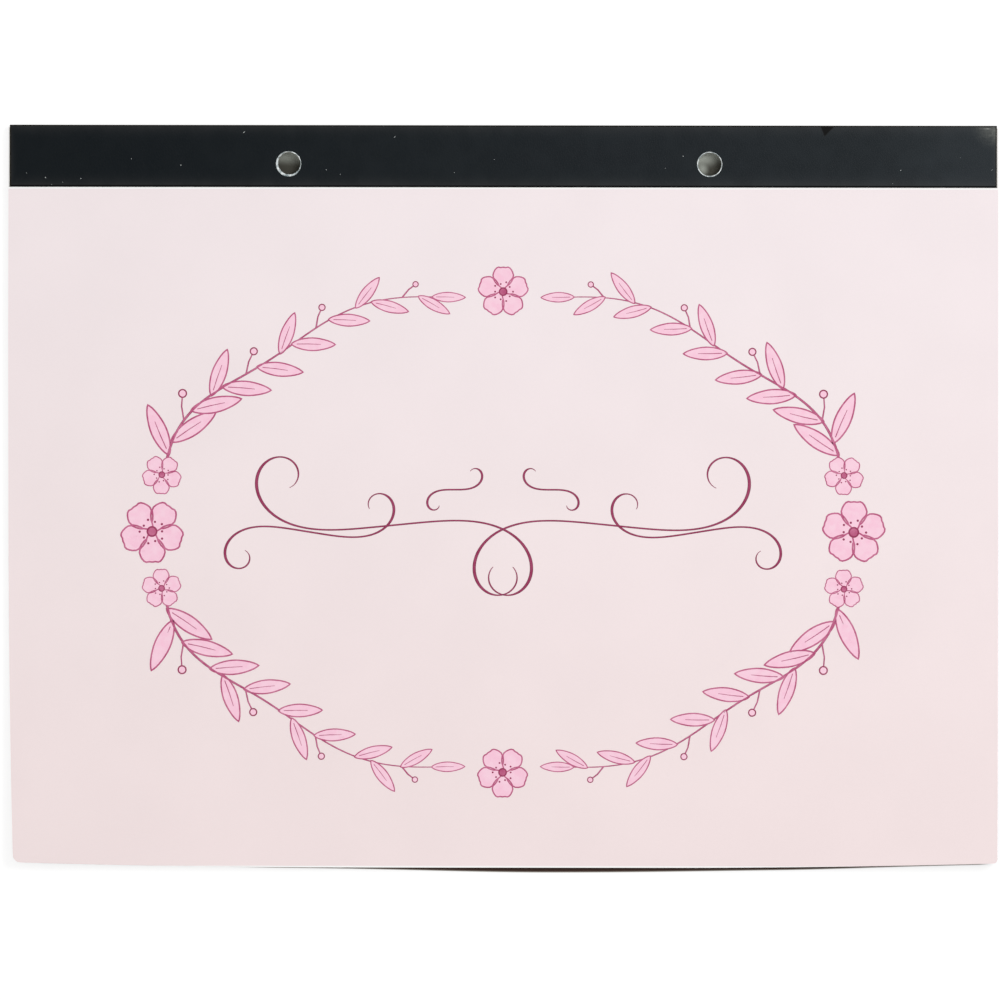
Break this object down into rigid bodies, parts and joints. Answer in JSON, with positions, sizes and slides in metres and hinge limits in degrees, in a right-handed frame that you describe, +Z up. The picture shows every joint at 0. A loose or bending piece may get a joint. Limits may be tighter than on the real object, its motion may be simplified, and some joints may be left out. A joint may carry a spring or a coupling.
{
  "type": "desk calendar pad",
  "caption": "Tape-bound desk calendar pad: a printed cover and month leaves on a chipboard back, drilled at the head, each leaf turning up about the edge of the tape.",
  "frame": {"origin": "on the surface that the pad lies on, under the middle of the pad", "axes": "+Z up out of the cover, +Y towards the bound head, +X to the reader's right"},
  "size_m": [0.3048, 0.2286, 0.0043],
  "materials": {
    "grained_tape": "satin",
    "cover_card": "matte",
    "leaf_paper": "matte",
    "chipboard": "matte",
    "glue": "satin"
  },
  "bodies": {
    "bound_block": {"backing_board": "chipboard", "binding_tape": "grained_tape", "padding_glue": "glue", "cover_stub": "cover_card", "leaf_stub_01": "leaf_paper", "leaf_stub_02": "leaf_paper", "leaf_stub_03": "leaf_paper", "leaf_stub_04": "leaf_paper", "leaf_stub_05": "leaf_paper", "leaf_stub_06": "leaf_paper", "leaf_stub_07": "leaf_paper", "leaf_stub_08": "leaf_paper", "leaf_stub_09": "leaf_paper", "leaf_stub_10": "leaf_paper", "leaf_stub_11": "leaf_paper", "leaf_stub_12": "leaf_paper"},
    "leaf_01": {"month_leaf_01": "leaf_paper"},
    "leaf_02": {"month_leaf_02": "leaf_paper"},
    "leaf_03": {"month_leaf_03": "leaf_paper"},
    "leaf_04": {"month_leaf_04": "leaf_paper"},
    "leaf_05": {"month_leaf_05": "leaf_paper"},
    "leaf_06": {"month_leaf_06": "leaf_paper"},
    "leaf_07": {"month_leaf_07": "leaf_paper"},
    "leaf_08": {"month_leaf_08": "leaf_paper"},
    "leaf_09": {"month_leaf_09": "leaf_paper"},
    "leaf_10": {"month_leaf_10": "leaf_paper"},
    "leaf_11": {"month_leaf_11": "leaf_paper"},
    "leaf_12": {"month_leaf_12": "leaf_paper"},
    "cover_sheet": {"cover": "cover_card"}
  },
  "joints": [
    {"name": "leaf_12_turn", "type": "hinge", "parent": "bound_block", "child": "leaf_12", "pos_m": [0, 0.09505, 0.00436], "axis": [-1, 0, 0], "range_deg": [0, 5]},
    {"name": "leaf_11_turn", "type": "hinge", "parent": "leaf_12", "child": "leaf_11", "pos_m": [0, 0.09505, 0.00436], "axis": [-1, 0, 0], "range_deg": [0, 5]},
    {"name": "leaf_10_turn", "type": "hinge", "parent": "leaf_11", "child": "leaf_10", "pos_m": [0, 0.09505, 0.00436], "axis": [-1, 0, 0], "range_deg": [0, 5]},
    {"name": "leaf_09_turn", "type": "hinge", "parent": "leaf_10", "child": "leaf_09", "pos_m": [0, 0.09505, 0.00436], "axis": [-1, 0, 0], "range_deg": [0, 5]},
    {"name": "leaf_08_turn", "type": "hinge", "parent": "leaf_09", "child": "leaf_08", "pos_m": [0, 0.09505, 0.00436], "axis": [-1, 0, 0], "range_deg": [0, 5]},
    {"name": "leaf_07_turn", "type": "hinge", "parent": "leaf_08", "child": "leaf_07", "pos_m": [0, 0.09505, 0.00436], "axis": [-1, 0, 0], "range_deg": [0, 5]},
    {"name": "leaf_06_turn", "type": "hinge", "parent": "leaf_07", "child": "leaf_06", "pos_m": [0, 0.09505, 0.00436], "axis": [-1, 0, 0], "range_deg": [0, 5]},
    {"name": "leaf_05_turn", "type": "hinge", "parent": "leaf_06", "child": "leaf_05", "pos_m": [0, 0.09505, 0.00436], "axis": [-1, 0, 0], "range_deg": [0, 5]},
    {"name": "leaf_04_turn", "type": "hinge", "parent": "leaf_05", "child": "leaf_04", "pos_m": [0, 0.09505, 0.00436], "axis": [-1, 0, 0], "range_deg": [0, 5]},
    {"name": "leaf_03_turn", "type": "hinge", "parent": "leaf_04", "child": "leaf_03", "pos_m": [0, 0.09505, 0.00436], "axis": [-1, 0, 0], "range_deg": [0, 5]},
    {"name": "leaf_02_turn", "type": "hinge", "parent": "leaf_03", "child": "leaf_02", "pos_m": [0, 0.09505, 0.00436], "axis": [-1, 0, 0], "range_deg": [0, 5]},
    {"name": "leaf_01_turn", "type": "hinge", "parent": "leaf_02", "child": "leaf_01", "pos_m": [0, 0.09505, 0.00436], "axis": [-1, 0, 0], "range_deg": [0, 5]},
    {"name": "cover_turn", "type": "hinge", "parent": "leaf_01", "child": "cover_sheet", "pos_m": [0, 0.09505, 0.00436], "axis": [-1, 0, 0], "range_deg": [0, 115]}
  ]
}
